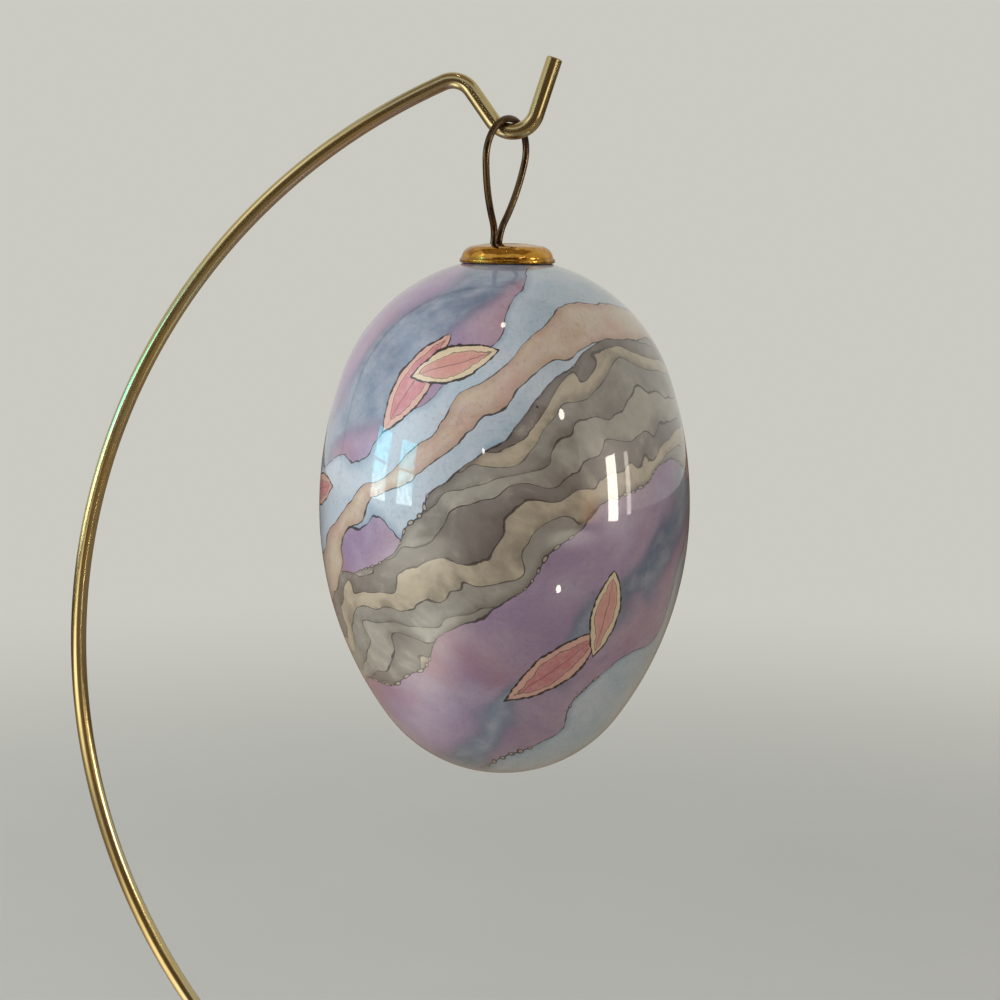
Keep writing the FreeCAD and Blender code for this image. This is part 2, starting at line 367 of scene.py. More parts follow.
def egg_outline(inset):
    """The egg's outline from its lower pole up to the hole in its crown."""
    lower = egg_side(inset, egg_pointed_height, egg_pointed_end_radius, -1)
    upper = list(reversed(egg_side(inset, egg_blunt_height, egg_blunt_end_radius, 1)))
    end_radius = egg_blunt_end_radius - inset
    crown_centre = egg_middle + egg_blunt_height - egg_blunt_end_radius
    edge = upright(shell_hole_radius, crown_centre + math.sqrt(end_radius ** 2 - shell_hole_radius ** 2))
    beyond_edge = shell_hole_radius + 0.2
    outside_hole = [point for point in upper if point.x > beyond_edge or point.z < egg_middle]
    return joined(lower, outside_hole) + [edge]


def cap_outline():
    """The pressed dome's section: inside from the hole, round the rolled rim and back over the top."""
    dome_step = 0.15
    shoulder_step = 0.08
    bead_step = 0.07
    lip_step = 0.05
    lip_start = 170
    lip_end = 100
    dome_centre = upright(0, cap_top - cap_dome_radius)
    shoulder_centre = upright(cap_shoulder_x, dome_centre.z + cap_shoulder_rise)
    meeting = angle_of(shoulder_centre - dome_centre)
    dome_start = cap_hole_radius + hole_edge_radius

    def over_dome(inset):
        """One side of the sheet from the hole to the bead, set in by inset."""
        radius = cap_dome_radius - inset
        start = math.degrees(math.acos(dome_start / radius))
        return joined(
            arc(dome_centre, radius, start, meeting, dome_step),
            arc(shoulder_centre, cap_shoulder_radius - inset, meeting, 0, shoulder_step),
        )

    def beside_bead(x):
        """The angle round the bead at which a straight side at x runs into it."""
        return math.degrees(math.acos((x - bead_centre.x) / cap_bead_radius))

    outside = over_dome(0)
    inside = over_dome(cap_sheet)
    bead_start = beside_bead(cap_radius)
    bead_end = beside_bead(cap_radius - cap_sheet) - 360
    bead = arc(bead_centre, cap_bead_radius, bead_start, bead_end, bead_step)
    lip_centre = upright(dome_start, outside[0].z - hole_edge_radius)
    lip = arc(lip_centre, hole_edge_radius, lip_start, lip_end, lip_step)
    section = lip + outside + bead + list(reversed(inside)) + [upright(cap_hole_radius, inside[0].z)]
    return list(reversed(section))


def make_pieces():
    stand = tube(
        "stand_bent_wire", stand_line(), wire_radius - drawn_thinner, end_bevel, stand_sides,
        "stand", "stand_wire")
    loop = tube(
        "hanger_wire_loop", loop_line(), loop_wire_radius, end_bevel, loop_sides,
        "hanger", "hanger_loop")
    shell_line = egg_outline(0) + list(reversed(egg_outline(shell_wall)))
    shell = revolved("glazed_egg", shell_line, egg_sides, "egg", "egg_shell")
    cap = revolved("gilt_cap", cap_outline(), cap_sides, "egg", "egg_cap")
    return stand, loop, shell, cap


# Materials

class Graph:
    """Short ways to add and link the nodes of a material or of the world."""

    def __init__(self, owner, output="ShaderNodeOutputMaterial"):
        self.owner = owner
        owner.use_nodes = True
        self.tree = owner.node_tree
        self.tree.nodes.clear()
        self.output = self.tree.nodes.new(output)

    def add(self, kind, **settings):
        made = self.tree.nodes.new(kind)
        for name, value in settings.items():
            setattr(made, name, value)
        return made

    def feed(self, socket, value):
        """Links a socket, or sets a plain value."""
        if isinstance(value, bpy.types.NodeSocket):
            self.tree.links.new(value, socket)
        else:
            socket.default_value = value

    def fed(self, made, *values):
        """Feeds a node's first inputs in their order, and returns the node."""
        for socket, value in zip(made.inputs, values):
            self.feed(socket, value)
        return made

    def number(self, operation, *values):
        return self.fed(self.add("ShaderNodeMath", operation=operation), *values).outputs[0]

    def plus(self, first, second):
        return self.number("ADD", first, second)

    def minus(self, first, second):
        return self.number("SUBTRACT", first, second)

    def times(self, first, second):
        return self.number("MULTIPLY", first, second)

    def over(self, first, second):
        return self.number("DIVIDE", first, second)

    def larger(self, first, second):
        return self.number("MAXIMUM", first, second)

    def absolute(self, value):
        return self.number("ABSOLUTE", value)

    def fraction(self, value):
        return self.number("FRACT", value)

    def root(self, value):
        return self.number("SQRT", value)

    def vector(self, operation, *values):
        return self.fed(self.add("ShaderNodeVectorMath", operation=operation), *values).outputs

    def moved(self, place, shift):
        return self.vector("ADD", place, shift)["Vector"]

    def offset(self, place, origin):
        return self.vector("SUBTRACT", place, origin)["Vector"]

    def stretched(self, place, factors):
        return self.vector("MULTIPLY", place, factors)["Vector"]

    def shrunk(self, place, factors):
        return self.vector("DIVIDE", place, factors)["Vector"]

    def along(self, place, axis):
        return self.vector("DOT_PRODUCT", place, tuple(axis))["Value"]

    def length(self, place):
        return self.vector("LENGTH", place)["Value"]

    def scaled(self, place, factor):
        made = self.add("ShaderNodeVectorMath", operation="SCALE")
        self.feed(made.inputs["Vector"], place)
        self.feed(made.inputs["Scale"], factor)
        return made.outputs["Vector"]

    def metres(self):
        """Place on the piece in metres, in the piece's own frame."""
        return self.add("ShaderNodeTexCoord").outputs["Object"]

    def millimetres(self):
        return self.scaled(self.metres(), 1 / METRE)

    def parts(self, place):
        """The X, Y and Z of a place."""
        return self.fed(self.add("ShaderNodeSeparateXYZ"), place).outputs

    def straightened(self):
        """Place on a wire in millimetres, as if it were straight along Z."""
        return self.add("ShaderNodeAttribute", attribute_name="wire_place").outputs["Vector"]

    def noise_node(self, place, size, detail, roughness, seed):
        """Smooth noise from 0 to 1 with features of about size millimetres."""
        made = self.add("ShaderNodeTexNoise", noise_dimensions="4D")
        self.feed(made.inputs["Vector"], place)
        self.feed(made.inputs["W"], seed)
        self.feed(made.inputs["Scale"], 1 / size)
        self.feed(made.inputs["Detail"], detail)
        self.feed(made.inputs["Roughness"], roughness)
        return made.outputs

    def noise(self, place, size, detail, roughness, seed):
        return self.noise_node(place, size, detail, roughness, seed)["Fac"]

    def swirl(self, place, size, detail, seed, reach):
        """An uneven shift in all directions, of up to half of reach."""
        made = self.noise_node(place, size, detail, 0.5, seed)["Color"]
        return self.scaled(self.offset(made, (0.5, 0.5, 0.5)), reach)

    def between(self, value, low, high, out_low=0.0, out_high=1.0):
        """Maps low..high smoothly to out_low..out_high and clamps."""
        made = self.add("ShaderNodeMapRange", interpolation_type="SMOOTHSTEP")
        return self.fed(made, value, low, high, out_low, out_high).outputs["Result"]

    def steps(self, share, stops):
        """The colour of the last stop that share has passed."""
        made = self.add("ShaderNodeValToRGB")
        made.color_ramp.interpolation = "CONSTANT"
        elements = made.color_ramp.elements
        while len(elements) < len(stops):
            elements.new(0.5)
        for element, (position, shade) in zip(elements, stops):
            element.position = position
            element.color = shade
        return self.fed(made, share).outputs["Color"]

    def mix(self, share, first, second):
        """Two colours mixed, the second one where share is 1."""
        first_colour, second_colour, mixed_colour = 6, 7, 2
        made = self.add("ShaderNodeMix", data_type="RGBA")
        self.feed(made.inputs["Factor"], share)
        self.feed(made.inputs[first_colour], first)
        self.feed(made.inputs[second_colour], second)
        return made.outputs[mixed_colour]

    def bump(self, height, strength, distance, normal=None):
        """A bump whose height of 1 stands distance millimetres proud."""
        made = self.add("ShaderNodeBump")
        self.feed(made.inputs["Height"], height)
        self.feed(made.inputs["Strength"], strength)
        self.feed(made.inputs["Distance"], distance * METRE)
        if normal is not None:
            self.feed(made.inputs["Normal"], normal)
        return made.outputs["Normal"]

    def glow(self, shade, strength, kind="ShaderNodeEmission"):
        made = self.add(kind)
        self.feed(made.inputs["Color"], shade)
        self.feed(made.inputs["Strength"], strength)
        return made.outputs[0]

    def blended(self, share, first, second):
        """Two shaders, the second one where share is 1."""
        return self.fed(self.add("ShaderNodeMixShader"), share, first, second).outputs[0]

    def seen_or_mirrored(self):
        """1 for what the camera sees straight, in gloss or through glass."""
        rays = self.add("ShaderNodeLightPath").outputs
        direct_or_gloss = self.larger(rays["Is Camera Ray"], rays["Is Glossy Ray"])
        return self.larger(direct_or_gloss, rays["Is Transmission Ray"])

    def show(self, shader):
        """Ends the graph with a shader, and returns what the graph belongs to."""
        self.feed(self.output.inputs["Surface"], shader)
        return self.owner

    def finish(self, **values):
        """Ends the graph with the Principled shader. Underscores in a name stand for spaces."""
        made = self.add("ShaderNodeBsdfPrincipled")
        for name, value in values.items():
            self.feed(made.inputs[name.replace("_", " ")], value)
        return self.show(made.outputs["BSDF"])


def material_graph(name):
    return Graph(bpy.data.materials.new(name))


def colour(red, green, blue):
    """A linear colour from one that is written as it looks on a screen, from 0 to 255."""
    shares = []
    for value in (red, green, blue):
        share = value / 255
        shares.append(share / 12.92 if share <= 0.04045 else ((share + 0.055) / 1.055) ** 2.4)
    return (*shares, 1.0)


def brass_wire():
    """Drawn and lacquered brass: faint draw lines, paler and warmer lengths, and a little tarnish."""
    pale_brass = colour(196, 185, 146)
    warm_brass = colour(204, 182, 128)
    line_shade = colour(150, 136, 96)
    tarnish_shade = colour(138, 112, 72)
    speck_shade = colour(84, 66, 42)
    graph = material_graph("stand_brass")
    place = graph.straightened()
    lengths = graph.noise(graph.stretched(place, (0.3, 0.3, 0.05)), 1.0, 2.0, 0.5, 2.0)
    draw_lines = graph.noise(graph.stretched(place, (1, 1, 0.01)), 0.35, 1.0, 0.5, 1.0)
    cloud = graph.noise(graph.stretched(place, (1, 1, 0.3)), 1.5, 3.0, 0.55, 4.0)
    tarnish = graph.between(cloud, 0.58, 0.74)
    specks = graph.between(graph.noise(place, 0.3, 2.0, 0.5, 8.0), 0.72, 0.76)
    base = graph.mix(graph.between(lengths, 0.35, 0.65), pale_brass, warm_brass)
    base = graph.mix(graph.between(draw_lines, 0.5, 0.75, 0.0, 0.22), base, line_shade)
    base = graph.mix(graph.times(tarnish, 0.4), base, tarnish_shade)
    base = graph.mix(graph.times(specks, 0.5), base, speck_shade)
    rough = graph.plus(graph.between(cloud, 0.3, 0.7, 0.15, 0.22), graph.times(tarnish, 0.07))
    lines = graph.bump(draw_lines, 0.2, 0.005)
    swells = graph.noise(graph.stretched(place, (1, 1, 0.2)), 2.2, 1.0, 0.5, 6.0)
    dents = graph.bump(swells, 0.3, 0.04, lines)
    return graph.finish(
        Base_Color=base, Metallic=1.0, Roughness=rough, Normal=dents,
        Coat_Weight=0.3, Coat_Roughness=0.05, Coat_Tint=(1.0, 0.96, 0.84, 1.0))


def dark_wire():
    """Oxidised brass: smooth dark brown, with a few paler rubbed spots."""
    dark_brown = colour(74, 60, 50)
    mid_brown = colour(104, 84, 62)
    line_shade = colour(46, 37, 31)
    rubbed_shade = colour(178, 150, 106)
    graph = material_graph("dark_brass")
    place = graph.straightened()
    draw_lines = graph.noise(graph.stretched(place, (1, 1, 0.02)), 0.12, 2.0, 0.5, 1.0)
    patches = graph.noise(graph.stretched(place, (1, 1, 0.3)), 0.9, 3.0, 0.55, 2.0)
    touched = graph.noise(graph.stretched(place, (1, 1, 0.4)), 0.55, 3.0, 0.6, 5.0)
    rubbed = graph.between(touched, 0.64, 0.74)
    base = graph.mix(graph.between(patches, 0.36, 0.64), dark_brown, mid_brown)
    base = graph.mix(graph.between(draw_lines, 0.5, 0.75, 0.0, 0.4), base, line_shade)
    base = graph.mix(graph.times(rubbed, 0.5), base, rubbed_shade)
    rough = graph.minus(graph.between(patches, 0.3, 0.7, 0.2, 0.3), graph.times(rubbed, 0.08))
    lines = graph.bump(draw_lines, 0.3, 0.008)
    hollows = graph.noise(graph.stretched(place, (1, 1, 0.5)), 0.4, 2.0, 0.5, 7.0)
    pits = graph.bump(hollows, 0.3, 0.02, lines)
    return graph.finish(Base_Color=base, Metallic=1.0, Roughness=rough, Normal=pits)


def gilt_sheet():
    """Thin pressed and gilt sheet: a mirror with soft ripples, small dents, and dirt with painted shade by
    the rolled rim.
    """
    yellow_gilt = colour(218, 166, 76)
    deep_gilt = colour(190, 132, 42)
    worn_shade = colour(150, 84, 34)
    grain_shade = colour(140, 84, 30)
    # Brown of the dirt and painted shade in the crease by the rolled rim.
    dirt_and_shade_brown = colour(96, 62, 28)
    crease_foot = cap_rim + 0.8
    crease_top = cap_rim + 1.1
    graph = material_graph("gilt_brass")
    place = graph.millimetres()
    ripples = graph.noise(place, 2.4, 1.0, 0.5, 1.0)
    dents = graph.noise(place, 0.8, 2.0, 0.5, 2.0)
    grain = graph.noise(place, 0.16, 3.0, 0.6, 3.0)
    # Dirt and painted shade: patches in the crease by the rolled rim are darker and rougher.
    crease = graph.between(graph.parts(place)["Z"], crease_top, crease_foot)
    rim_dirt_and_shade = graph.times(crease, graph.between(graph.noise(place, 0.7, 4.0, 0.6, 4.0), 0.3, 0.65))
    worn = graph.between(graph.noise(place, 1.6, 4.0, 0.6, 6.0), 0.5, 0.7)
    base = graph.mix(graph.between(ripples, 0.35, 0.65), yellow_gilt, deep_gilt)
    base = graph.mix(graph.times(worn, 0.55), base, worn_shade)
    base = graph.mix(graph.between(grain, 0.58, 0.75, 0.0, 0.35), base, grain_shade)
    # The painted shade and dirt darken the crease by the rolled rim.
    base = graph.mix(graph.times(rim_dirt_and_shade, 0.5), base, dirt_and_shade_brown)
    rough = graph.plus(graph.between(dents, 0.3, 0.7, 0.05, 0.12), graph.times(rim_dirt_and_shade, 0.2))
    waves = graph.bump(ripples, 0.8, 0.34)
    small = graph.bump(dents, 0.6, 0.07, waves)
    fine = graph.bump(grain, 0.2, 0.005, small)
    return graph.finish(Base_Color=base, Metallic=1.0, Roughness=rough, Normal=fine)


def pale_cement():
    """Set cement with grains and a few pores."""
    pale_shade = colour(221, 214, 198)
    dull_shade = colour(203, 194, 176)
    grain_shade = colour(160, 150, 132)
    graph = material_graph("cement")
    place = graph.millimetres()
    grain = graph.noise(place, 0.25, 5.0, 0.65, 1.0)
    cloud = graph.noise(place, 1.8, 3.0, 0.5, 2.0)
    base = graph.mix(graph.between(cloud, 0.35, 0.65), pale_shade, dull_shade)
    base = graph.mix(graph.between(grain, 0.58, 0.72, 0.0, 0.5), base, grain_shade)
    rough = graph.between(grain, 0.3, 0.7, 0.75, 0.92)
    return graph.finish(Base_Color=base, Roughness=rough, Normal=graph.bump(grain, 0.6, 0.05))


# The egg's decoration: inks poured over each other that ran aslant, with petals between the streams
pen_ink = colour(44, 36, 36)
bead_heart = colour(186, 170, 150)
bloom_shade = colour(206, 200, 204)
granule_shade = colour(96, 90, 104)
paint_grain_shade = colour(104, 94, 98)


def wash(graph, place, first, second, size, seed):
    """Two inks that run into each other, with clouds, blooms and fine granulation."""
    cloud = graph.between(graph.noise(place, size, 3.0, 0.5, seed), 0.36, 0.64)
    mixed = graph.mix(cloud, first, second)
    blooms = graph.between(graph.noise(place, size * 0.3, 5.0, 0.62, seed + 7.0), 0.3, 0.75, 0.0, 0.3)
    mixed = graph.mix(blooms, mixed, bloom_shade)
    grains = graph.between(graph.noise(place, 0.7, 3.0, 0.6, seed + 9.0), 0.5, 0.72, 0.0, 0.22)
    return graph.mix(grains, mixed, granule_shade)


def stream(graph, place, tilt, offset, half_width, wobble, seed):
    """How far inside a slanting stream of ink a place lies, in millimetres, and how far along it."""
    turn = math.radians(tilt)
    lean = 0.35 * math.cos(seed)
    across_axis = Vector((-math.sin(turn), lean, math.cos(turn))).normalized()
    along_axis = Vector((math.cos(turn), lean, math.sin(turn))).normalized()
    drift = graph.times(graph.minus(graph.noise(place, 17.0, 1.5, 0.45, seed), 0.5), wobble)
    ripple = graph.times(graph.minus(graph.noise(place, 4.2, 2.0, 0.5, seed + 2.0), 0.5), 2.2)
    across = graph.minus(graph.along(place, across_axis), offset)
    across = graph.plus(across, graph.plus(drift, ripple))
    swell = graph.between(graph.noise(place, 22.0, 1.0, 0.4, seed + 4.0), 0.3, 0.7, 0.45, 1.35)
    reach = graph.times(swell, half_width)
    inside = graph.minus(reach, graph.absolute(across))
    return inside, graph.along(place, along_axis)


def ink_line(graph, place, inside, width, seed):
    """A thin dark line along an edge, uneven like one drawn by hand."""
    uneven = graph.noise(place, 1.6, 3.0, 0.6, seed)
    half = graph.between(uneven, 0.34, 0.66, 0.35 * width, width)
    share = graph.over(graph.absolute(inside), half)
    return graph.between(share, 1.0, 0.5)


def beads(graph, place, inside, along, seed):
    """Small dark beads with pale hearts in a row on a stream's edge. They show in stretches."""
    pitch, radius = 1.5, 0.62
    step = graph.minus(graph.fraction(graph.over(along, pitch)), 0.5)
    length = graph.times(step, pitch)
    reach = graph.root(graph.plus(graph.times(length, length), graph.times(inside, inside)))
    stretches = graph.between(graph.noise(place, 11.0, 1.0, 0.5, seed), 0.47, 0.52)
    size = graph.between(graph.noise(place, 2.5, 1.0, 0.5, seed + 1.0), 0.3, 0.7, 0.6 * radius, radius)
    share = graph.over(reach, size)
    body = graph.times(graph.between(share, 1.0, 0.85), stretches)
    heart = graph.times(graph.between(share, 0.6, 0.45), stretches)
    return body, heart


def lay_stream(graph, place, under, ink, edge, tilt, offset, half_width, wobble, seed, line, soft, beaded):
    """Lays one stream over what is under it, with a darker tide mark inside its edge and a pen line on it."""
    inside, along = stream(graph, place, tilt, offset, half_width, wobble, seed)
    cover = graph.between(inside, -soft, soft)
    tide = graph.times(graph.between(inside, 1.8, 0.0), 0.55)
    laid = graph.mix(cover, under, graph.mix(tide, ink, edge))
    if line:
        drawn = ink_line(graph, place, inside, line, seed + 11.0)
        laid = graph.mix(graph.times(drawn, 0.92), laid, pen_ink)
    if beaded:
        body, heart = beads(graph, place, inside, along, seed + 5.0)
        laid = graph.mix(graph.times(body, 0.9), laid, pen_ink)
        laid = graph.mix(graph.times(heart, 0.75), laid, bead_heart)
    return laid


def strata(graph, place, seed):
    """Stone grey and cream layers that follow each other, with pen lines between them and stains below."""
    dark_cloud = colour(98, 90, 82)
    pale_cloud = colour(190, 182, 162)
    stain_shade = colour(84, 72, 62)
    wide_bends = graph.swirl(place, 15.0, 2.0, seed, 19.0)
    fine_bends = graph.swirl(place, 3.5, 2.0, seed + 1.0, 1.3)
    bent = graph.moved(place, graph.moved(wide_bends, fine_bends))
    pitch = 13.0
    level = graph.over(graph.along(bent, (-0.5, 0.2, 0.85)), pitch)
    # Each stop has the share of the pitch at which a layer starts, and the layer's colour.
    stops = [
        (0.0, colour(148, 142, 132)), (0.3, colour(184, 170, 146)), (0.52, colour(128, 120, 112)),
        (0.74, colour(162, 156, 144)),
    ]
    layers = graph.steps(graph.fraction(level), stops)
    cloud = graph.noise(place, 4.5, 4.0, 0.6, seed + 3.0)
    laid = graph.mix(graph.between(cloud, 0.42, 0.7, 0.0, 0.5), layers, dark_cloud)
    laid = graph.mix(graph.between(cloud, 0.45, 0.3, 0.0, 0.4), laid, pale_cloud)
    for position, _ in stops:
        gap = graph.fraction(graph.minus(level, position))
        stain = graph.times(graph.between(gap, 0.13, 0.0, 0.0, 0.45), graph.between(cloud, 0.35, 0.6))
        laid = graph.mix(stain, laid, stain_shade)
    for position, _ in stops:
        gap = graph.minus(graph.fraction(graph.minus(level, position - 0.5)), 0.5)
        drawn = ink_line(graph, place, graph.times(gap, pitch), 0.16, seed + 20.0 * position)
        laid = graph.mix(graph.times(drawn, 0.85), laid, pen_ink)
    return laid


def petal(graph, place, under, azimuth, rise, turn, length, width, inks):
    """One pointed petal on the egg's side, with a knotted outline, a lighter heart and a midrib."""
    mottle_shade = colour(216, 176, 160)
    vein_shade = colour(96, 60, 60)
    around = math.radians(azimuth)
    outward = Vector((math.sin(around), -math.cos(around), 0))
    sideways = Vector((math.cos(around), math.sin(around), 0))
    way = math.radians(turn)
    along = sideways * math.cos(way) + Vector((0, 0, 1)) * math.sin(way)
    beside = outward.cross(along)
    middle = outward * egg_radius + Vector((0, 0, rise))
    shake = graph.noise_node(place, 2.6, 2.0, 0.5, azimuth * 0.37)["Color"]
    near = graph.offset(graph.moved(place, graph.scaled(shake, 0.9)), tuple(middle))
    lengthwise = graph.over(graph.along(near, along), length)
    sidewise = graph.over(graph.along(near, beside), width)
    hollow = graph.minus(1.0, graph.times(lengthwise, lengthwise))
    inside = graph.minus(hollow, graph.absolute(sidewise))
    facing = graph.between(graph.along(near, outward), -9.0, -8.0)
    cover = graph.times(graph.between(inside, 0.0, 0.06), facing)
    heart = graph.between(graph.noise(place, 3.0, 4.0, 0.55, azimuth), 0.3, 0.7, 0.28, 0.5)
    filling = graph.mix(graph.between(graph.minus(inside, heart), -0.05, 0.12), inks[0], inks[1])
    mottle = graph.between(graph.noise(place, 1.1, 4.0, 0.6, azimuth + 3.0), 0.4, 0.7, 0.0, 0.35)
    filling = graph.mix(mottle, filling, mottle_shade)
    knots = graph.between(graph.noise(place, 0.8, 1.0, 0.5, azimuth + 5.0), 0.35, 0.65, 0.04, 0.1)
    outline = graph.over(graph.absolute(graph.minus(inside, 0.03)), knots)
    ring = graph.times(graph.between(outline, 1.0, 0.6), facing)
    inner_ring = graph.between(graph.absolute(graph.minus(inside, heart)), 0.04, 0.015, 0.0, 0.8)
    rib_width = graph.times(hollow, 0.045)
    rib = graph.between(graph.over(graph.absolute(sidewise), rib_width), 1.0, 0.5, 0.0, 0.6)
    filling = graph.mix(graph.larger(inner_ring, rib), filling, vein_shade)
    laid = graph.mix(cover, under, filling)
    return graph.mix(ring, laid, pen_ink)


def decoration(graph, place):
    """All inks of the egg, from the ground up."""
    bent = graph.moved(place, graph.swirl(place, 26.0, 2.0, 9.0, 16.0))
    laid = wash(graph, bent, colour(146, 122, 152), colour(156, 110, 120), 24.0, 3.0)
    pale = wash(graph, bent, colour(158, 178, 188), colour(180, 190, 198), 12.0, 5.0)
    slate = wash(graph, bent, colour(92, 108, 130), colour(124, 138, 156), 9.0, 6.0)
    stone = strata(graph, bent, 4.0)
    cream = wash(graph, bent, colour(196, 178, 150), colour(190, 156, 138), 7.0, 8.0)
    pale_edge = colour(122, 142, 162)
    slate_edge = colour(76, 90, 114)
    stone_edge = colour(98, 88, 80)
    cream_edge = colour(164, 132, 112)
    # Each stream has an ink, an edge, a tilt in degrees, an offset, a half width and a wobble in millimetres,
    # a seed, the width of its pen line, the softness of its edge, and beads or none.
    streams = [
        (slate, slate_edge, 44, 27, 6.5, 14, 1.3, 0, 2.2, False),
        (pale, pale_edge, 40, 19, 8.5, 12, 2.1, 0.2, 0.3, False),
        (pale, pale_edge, 36, -30, 9.5, 12, 3.7, 0.2, 0.3, True),
        (slate, slate_edge, 48, -20, 4.0, 16, 4.4, 0, 1.6, False),
        (stone, stone_edge, 38, -6, 9.0, 13, 5.2, 0.26, 0.15, True),
        (cream, cream_edge, 42, 6, 3.0, 13, 6.9, 0.2, 0.15, False),
    ]
    for settings in streams:
        laid = lay_stream(graph, bent, laid, *settings)
    salmon = (colour(206, 160, 144), colour(188, 116, 122))
    ivory = (colour(214, 196, 162), colour(200, 142, 132))
    # Each petal has an azimuth, a rise above the girth, a turn, half its length and its width, and two inks.
    petals = [
        (-22, 22, 62, 8.5, 3.0, salmon), (-8, 25, 18, 7.0, 2.6, ivory), (30, -20, 38, 9.0, 3.1, salmon),
        (44, -12, 84, 7.0, 2.6, ivory), (96, 12, 50, 8.0, 3.0, salmon), (152, -10, 24, 8.5, 3.0, ivory),
        (205, 16, 66, 8.5, 3.0, salmon), (262, -16, 40, 9.0, 3.2, ivory), (292, 4, 12, 7.0, 2.6, salmon),
    ]
    for settings in petals:
        laid = petal(graph, place, laid, *settings)
    grain = graph.noise(place, 0.5, 4.0, 0.65, 12.0)
    laid = graph.mix(graph.between(grain, 0.45, 0.75, 0.0, 0.14), laid, paint_grain_shade)
    specks = graph.between(graph.noise(place, 1.3, 2.0, 0.5, 14.0), 0.765, 0.785)
    return graph.mix(specks, laid, pen_ink)


def glazed_ink():
    """Inks under a thick clear glaze that shines like glass."""
    graph = material_graph("marbled_glaze")
    place = graph.offset(graph.millimetres(), (0, 0, egg_middle))
    inks = decoration(graph, place)
    swell = graph.noise(place, 7.0, 2.0, 0.5, 21.0)
    skin = graph.noise(place, 1.1, 2.0, 0.5, 22.0)
    flow = graph.bump(swell, 0.5, 0.04)
    glaze = graph.bump(skin, 0.25, 0.006, flow)
    return graph.finish(
        Base_Color=inks, Roughness=0.32, IOR=1.5, Normal=flow,
        Coat_Weight=1.0, Coat_Roughness=0.015, Coat_IOR=1.55, Coat_Normal=glaze)


def paint(target, material):
    target.data.materials.clear()
    target.data.materials.append(material)


# Surroundings

wall_colour = colour(203, 202, 194)


def floor_material():
    """A pale table top near the object, which fades into the backdrop's colour further out."""
    grey_top = colour(206, 205, 197)
    pale_top = colour(212, 210, 202)
    graph = material_graph("pale_floor")
    cloud = graph.noise(graph.millimetres(), 60.0, 3.0, 0.5, 1.0)
    near = graph.add("ShaderNodeBsdfDiffuse")
    graph.feed(near.inputs["Color"], graph.mix(cloud, grey_top, pale_top))
    far = graph.glow(wall_colour, 1.0)
    reach = graph.between(graph.length(graph.metres()), 0.22, 0.6)
    return graph.show(graph.blended(graph.times(reach, graph.seen_or_mirrored()), near.outputs[0], far))


def make_floor():
    mesh = bpy.data.meshes.new("floor")
    reach = 6.0
    corners = [(-reach, -reach, 0), (reach, -reach, 0), (reach, reach, 0), (-reach, reach, 0)]
    mesh.from_pydata(corners, [], [(0, 1, 2, 3)])
    made = bpy.data.objects.new("floor", mesh)
    bpy.context.scene.collection.objects.link(made)
    made.data.materials.append(floor_material())
    return made


def make_world():
    """A pale backdrop that the camera, metal and glaze see, and an even light for everything else."""
    world = bpy.data.worlds.new("studio")
    bpy.context.scene.world = world
    graph = Graph(world, "ShaderNodeOutputWorld")
    seen = graph.glow(wall_colour, 1.0, "ShaderNodeBackground")
    light = graph.glow((0.93, 0.96, 1.0, 1.0), 0.32, "ShaderNodeBackground")
    graph.show(graph.blended(graph.seen_or_mirrored(), light, seen))


def away(azimuth, elevation, distance):
    """A point at a distance in metres from the egg. Azimuth 0 is in front of it and 90 to its right."""
    flat = math.cos(math.radians(elevation)) * distance
    around = math.radians(azimuth)
    height = egg_middle * METRE + math.sin(math.radians(elevation)) * distance
    return Vector((math.sin(around) * flat, -math.cos(around) * flat, height))


def face_egg(made):
    """Turns an object's -Z side to the egg, and keeps its Y side up."""
    look = Vector((0, 0, egg_middle * METRE)) - made.location
    made.rotation_euler = look.to_track_quat("-Z", "Y").to_euler()


def soft_box(name, azimuth, elevation, distance, width, height, power, tint):
    """A rectangular light that faces the egg and doesn't show in gloss. Lengths are in metres."""
    light = bpy.data.lights.new(name, "AREA")
    light.shape = "RECTANGLE"
    light.size = width
    light.size_y = height
    light.energy = power
    light.color = tint
    made = bpy.data.objects.new(name, light)
    bpy.context.scene.collection.objects.link(made)
    made.location = away(azimuth, elevation, distance)
    made.visible_glossy = False
    face_egg(made)
    return made


def card(name, azimuth, elevation, distance, width, height, shade, strength, sides=4):
    """A card of one even glow. It has four corners, or is round with more sides."""
    graph = material_graph(name)
    material = graph.show(graph.glow(shade, strength))
    return hang_card(name, azimuth, elevation, distance, width, height, material, sides)


def hang_card(name, azimuth, elevation, distance, width, height, material, sides=4):
    """A card that faces the egg and that only gloss sees. Lengths are in metres."""
    corners = []
    reach = math.sqrt(0.5) if sides == 4 else 0.5
    for number in range(sides):
        turn = 2 * math.pi * (number + 0.5) / sides
        corners.append((math.cos(turn) * reach * width, math.sin(turn) * reach * height, 0))
    mesh = bpy.data.meshes.new(name)
    mesh.from_pydata(corners, [], [tuple(range(sides))])
    made = bpy.data.objects.new(name, mesh)
    bpy.context.scene.collection.objects.link(made)
    made.location = away(azimuth, elevation, distance)
    face_egg(made)
    made.data.materials.append(material)
    made.visible_camera = False
    made.visible_diffuse = False
    made.visible_shadow = False
    made.visible_transmission = False
    return made


